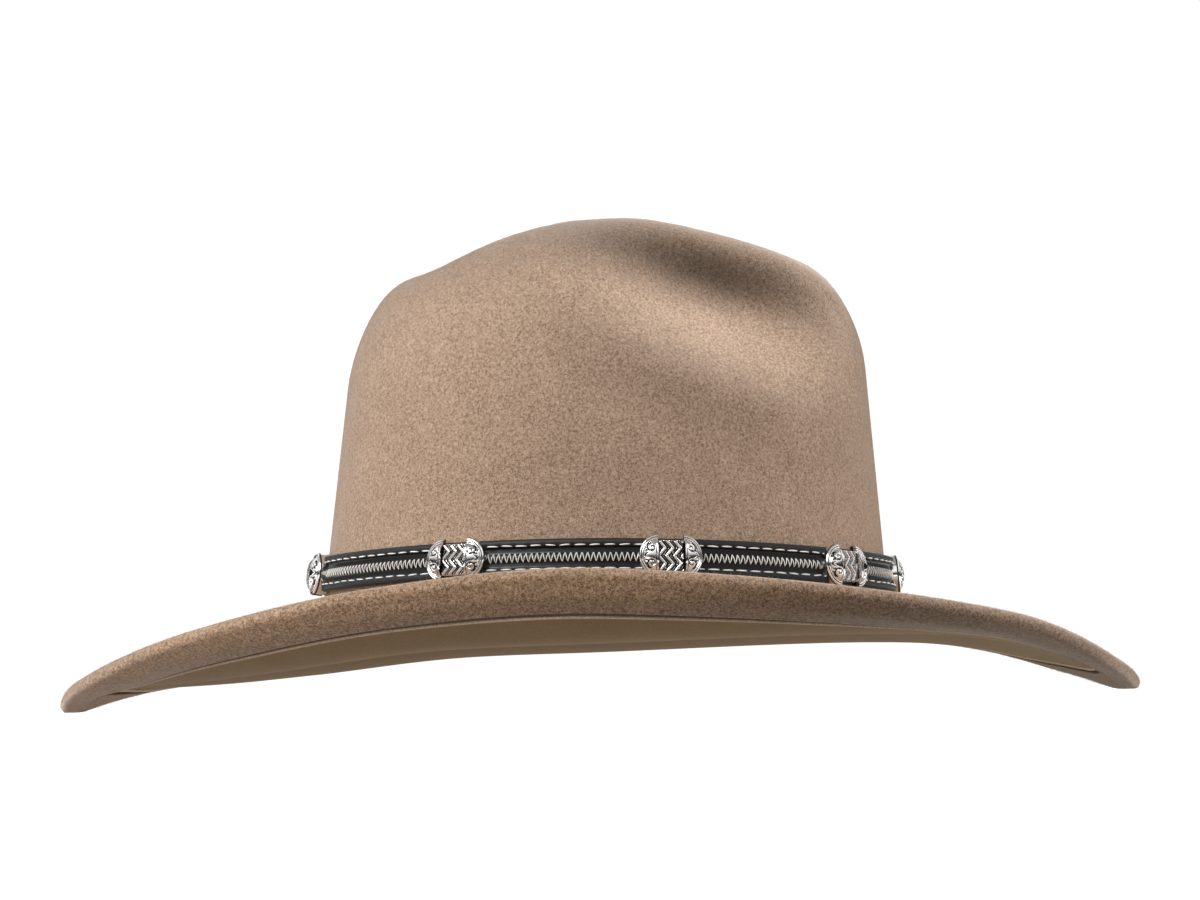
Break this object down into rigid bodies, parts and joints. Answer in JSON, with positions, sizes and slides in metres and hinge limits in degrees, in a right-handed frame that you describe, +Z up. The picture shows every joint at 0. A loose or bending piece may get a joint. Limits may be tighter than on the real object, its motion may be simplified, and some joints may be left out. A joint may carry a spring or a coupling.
{
  "type": "western felt hat",
  "caption": "Wool felt western hat with a pinched crown, a drooping brim with rolled sides and an underwelt, and a black leather band with silver slides.",
  "frame": {"origin": "centre of the hat's outline, on the surface that the hat rests on", "axes": "+X towards the front of the hat, +Y towards the wearer's left, +Z up"},
  "size_m": [0.4016, 0.3314, 0.1778],
  "materials": {
    "felt": "matt tan wool felt with a short nap",
    "leather": "black smooth leather",
    "silver": "polished cast silver, dark in its recesses"
  },
  "bodies": {
    "root": {"felt_body": "felt", "hatband": "leather", "slide_1": "silver", "slide_2": "silver", "slide_3": "silver", "slide_4": "silver", "slide_5": "silver", "slide_6": "silver", "slide_7": "silver", "slide_8": "silver"}
  },
  "joints": []
}
